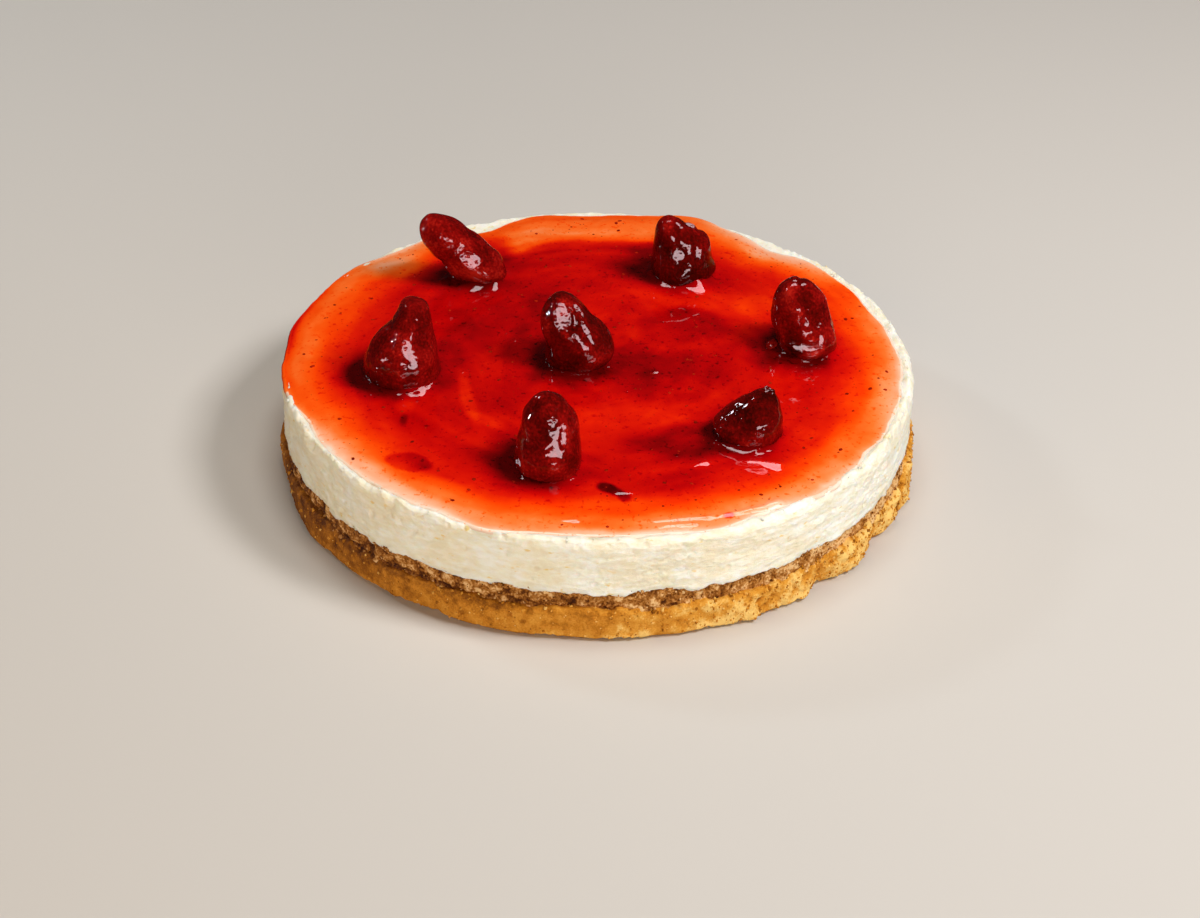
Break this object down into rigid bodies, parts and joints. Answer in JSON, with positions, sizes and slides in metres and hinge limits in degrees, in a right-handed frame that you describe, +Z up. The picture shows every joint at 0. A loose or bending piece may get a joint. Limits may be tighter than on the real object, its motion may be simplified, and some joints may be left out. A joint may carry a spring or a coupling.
{
  "type": "strawberry cheesecake",
  "caption": "Round cheesecake: shortcrust base, thin brown sponge, deep pale cheese filling and red strawberry jelly, topped with whole glazed strawberries.",
  "frame": {"origin": "middle of the base's underside", "axes": "+Z up out of the cake's top, -Y towards the side with the single front strawberry, +X to the right of it"},
  "size_m": [0.2338, 0.2343, 0.0708],
  "materials": {
    "shortcrust": "golden baked crumb, matt and rough",
    "moist_sponge": "moist brown crumb, slightly glinting",
    "cheese_cream": "soft pale cream cheese, finely pitted",
    "strawberry_glaze": "wet clear red jelly, thin and orange at the rim",
    "glazed_strawberry": "dark red preserved berry under wet glaze"
  },
  "bodies": {
    "root": {"shortcrust_base": "shortcrust", "sponge_layer": "moist_sponge", "cheese_filling": "cheese_cream", "strawberry_jelly": "strawberry_glaze", "strawberry_back_left": "glazed_strawberry", "strawberry_left": "glazed_strawberry", "strawberry_centre": "glazed_strawberry", "strawberry_front": "glazed_strawberry", "strawberry_front_right": "glazed_strawberry", "strawberry_right": "glazed_strawberry", "strawberry_back": "glazed_strawberry"}
  },
  "joints": []
}
